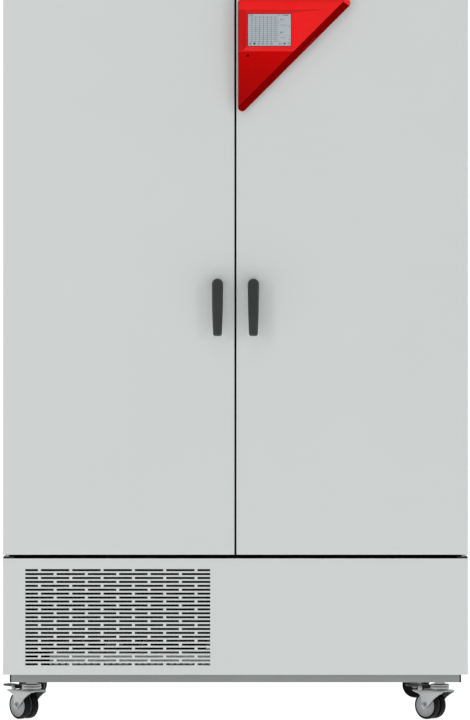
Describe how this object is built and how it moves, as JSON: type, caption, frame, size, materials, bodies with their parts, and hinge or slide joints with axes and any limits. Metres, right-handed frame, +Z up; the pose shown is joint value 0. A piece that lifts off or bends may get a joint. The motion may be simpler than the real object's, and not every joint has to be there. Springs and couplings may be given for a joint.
{
  "type": "plant growth chamber",
  "caption": "Free-standing plant growth chamber on castors: two tall insulated doors, glass inner doors, racks and light cassettes, red triangular controller and a slotted lower panel.",
  "frame": {"origin": "on the floor under the middle of the closed chamber's outline; X = 0 is the meeting line of the doors", "axes": "+Z up, +X to the right seen from the front, +Y from the doors to the back"},
  "size_m": [1.2675, 0.94, 2.005],
  "materials": {
    "door_paint": "satin",
    "base_grey": "satin",
    "frame_dark": "satin",
    "zinc": "satin",
    "stainless": "satin",
    "aluminium": "satin",
    "copper": "satin",
    "insulation": "matte",
    "gasket_rubber": "matte",
    "silicone": "matte",
    "handle_black": "satin",
    "red_plastic": "satin",
    "black_plastic": "satin",
    "screen": "gloss",
    "glass": "gloss",
    "lamp": "gloss",
    "tyre": "matte",
    "compressor_black": "gloss"
  },
  "bodies": {
    "cabinet": {"base_frame": "base_grey", "side_panels": "door_paint", "roof_panel": "door_paint", "rear_panel": "door_paint", "insulation_block": "insulation", "chamber_liner": "stainless", "air_baffle": "stainless", "door_frame": "door_paint", "lower_front_panel": "door_paint", "grille_rail": "zinc", "rack_uprights": "stainless", "wire_racks": "stainless", "light_cassettes": "aluminium", "lamp_tubes": "lamp", "compressor": "compressor_black", "condenser": "aluminium", "refrigerant_circuit": "copper", "electronics_box": "zinc", "hinge_brackets": "frame_dark", "castor_plates": "zinc", "access_port_sleeve": "stainless", "power_inlet": "black_plastic", "drain_spigot": "stainless", "cover_screws": "zinc", "circulation_fan_motor": "frame_dark"},
    "door_left": {"door_left_skin": "door_paint", "door_left_foam": "insulation", "door_left_liner": "stainless", "door_left_gasket": "gasket_rubber", "handle_left_rose": "handle_black"},
    "door_right": {"door_right_skin": "door_paint", "door_right_foam": "insulation", "door_right_liner": "stainless", "door_right_gasket": "gasket_rubber", "handle_right_rose": "handle_black", "controller_housing": "red_plastic", "controller_display": "screen"},
    "handle_left": {"handle_left_lever": "handle_black", "handle_left_spindle": "zinc"},
    "handle_right": {"handle_right_lever": "handle_black", "handle_right_spindle": "zinc"},
    "glass_left": {"glass_door_left": "glass", "glass_left_fittings": "stainless"},
    "glass_right": {"glass_door_right": "glass", "glass_right_fittings": "stainless"},
    "flap": {"controller_flap": "red_plastic"},
    "circulation_fan_rotor": {"circulation_fan": "aluminium"},
    "condenser_fan_rotor": {"condenser_fan": "black_plastic"},
    "switch_rocker": {"main_switch": "red_plastic"},
    "port_plug": {"access_port_plug": "silicone"},
    "castor_fl": {"castor_fl_fork": "zinc"},
    "wheels_fl": {"castor_fl_wheels": "tyre"},
    "castor_fr": {"castor_fr_fork": "zinc"},
    "wheels_fr": {"castor_fr_wheels": "tyre"},
    "castor_rl": {"castor_rl_fork": "zinc"},
    "wheels_rl": {"castor_rl_wheels": "tyre"},
    "castor_rr": {"castor_rr_fork": "zinc"},
    "wheels_rr": {"castor_rr_wheels": "tyre"},
    "brake_fl": {"castor_fl_brake": "black_plastic"},
    "brake_fr": {"castor_fr_brake": "black_plastic"}
  },
  "joints": [
    {"name": "door_left_swing", "type": "hinge", "parent": "cabinet", "child": "door_left", "pos_m": [-0.6155, -0.406, 1.2], "axis": [0, 0, -1], "range_deg": [0, 110]},
    {"name": "door_right_swing", "type": "hinge", "parent": "cabinet", "child": "door_right", "pos_m": [0.6155, -0.406, 1.2], "axis": [0, 0, 1], "range_deg": [0, 110]},
    {"name": "handle_left_turn", "type": "hinge", "parent": "door_left", "child": "handle_left", "pos_m": [-0.0483, -0.436, 1.1853], "axis": [0, 1, 0], "range_deg": [0, 90]},
    {"name": "handle_right_turn", "type": "hinge", "parent": "door_right", "child": "handle_right", "pos_m": [0.0483, -0.436, 1.1853], "axis": [0, -1, 0], "range_deg": [0, 90]},
    {"name": "glass_left_swing", "type": "hinge", "parent": "cabinet", "child": "glass_left", "pos_m": [-0.478, -0.325, 1.155], "axis": [0, 0, -1], "range_deg": [0, 93.5]},
    {"name": "glass_right_swing", "type": "hinge", "parent": "cabinet", "child": "glass_right", "pos_m": [0.478, -0.325, 1.155], "axis": [0, 0, 1], "range_deg": [0, 93.5]},
    {"name": "controller_flap_turn", "type": "hinge", "parent": "door_right", "child": "flap", "pos_m": [0.20271, -0.4379, 1.83239], "axis": [0.7071, 0, 0.7071], "range_deg": [0, 95]},
    {"name": "circulation_fan_spin", "type": "hinge", "parent": "cabinet", "child": "circulation_fan_rotor", "pos_m": [0, 0.287, 1.48], "axis": [0, 1, 0], "continuous": true},
    {"name": "condenser_fan_spin", "type": "hinge", "parent": "cabinet", "child": "condenser_fan_rotor", "pos_m": [-0.335, -0.21, 0.275], "axis": [0, 1, 0], "continuous": true},
    {"name": "main_switch_rock", "type": "hinge", "parent": "cabinet", "child": "switch_rocker", "pos_m": [0.459, 0.462, 0.215], "axis": [-1, 0, 0], "range_deg": [0, 14]},
    {"name": "port_plug_pull", "type": "slide", "parent": "cabinet", "child": "port_plug", "axis": [-1, 0, 0], "range_m": [0, 0.06]},
    {"name": "castor_fl_swivel", "type": "hinge", "parent": "cabinet", "child": "castor_fl", "pos_m": [-0.557, -0.306, 0.095], "axis": [0, 0, 1], "continuous": true},
    {"name": "castor_fl_roll", "type": "hinge", "parent": "castor_fl", "child": "wheels_fl", "pos_m": [-0.57901, -0.28141, 0.0375], "axis": [-0.745, -0.667, 0], "continuous": true},
    {"name": "castor_fl_brake_press", "type": "hinge", "parent": "castor_fl", "child": "brake_fl", "pos_m": [-0.58835, -0.27098, 0.084], "axis": [-0.745, -0.667, 0], "range_deg": [0, 18]},
    {"name": "castor_fr_swivel", "type": "hinge", "parent": "cabinet", "child": "castor_fr", "pos_m": [0.558, -0.306, 0.095], "axis": [0, 0, 1], "continuous": true},
    {"name": "castor_fr_roll", "type": "hinge", "parent": "castor_fr", "child": "wheels_fr", "pos_m": [0.53345, -0.28395, 0.0375], "axis": [-0.6681, -0.7441, 0], "continuous": true},
    {"name": "castor_fr_brake_press", "type": "hinge", "parent": "castor_fr", "child": "brake_fr", "pos_m": [0.52303, -0.2746, 0.084], "axis": [-0.6681, -0.7441, 0], "range_deg": [0, 18]},
    {"name": "castor_rl_swivel", "type": "hinge", "parent": "cabinet", "child": "castor_rl", "pos_m": [-0.557, 0.324, 0.095], "axis": [0, 0, 1], "continuous": true},
    {"name": "castor_rl_roll", "type": "hinge", "parent": "castor_rl", "child": "wheels_rl", "pos_m": [-0.5895, 0.32974, 0.0375], "axis": [-0.174, -0.9848, 0], "continuous": true},
    {"name": "castor_rr_swivel", "type": "hinge", "parent": "cabinet", "child": "castor_rr", "pos_m": [0.558, 0.324, 0.095], "axis": [0, 0, 1], "continuous": true},
    {"name": "castor_rr_roll", "type": "hinge", "parent": "castor_rr", "child": "wheels_rr", "pos_m": [0.5255, 0.32974, 0.0375], "axis": [-0.174, -0.9848, 0], "continuous": true}
  ],
  "couplings": [
    {"joint": "glass_left_swing", "follows": "door_left_swing", "ratio": 0.85},
    {"joint": "glass_right_swing", "follows": "door_right_swing", "ratio": 0.85}
  ]
}
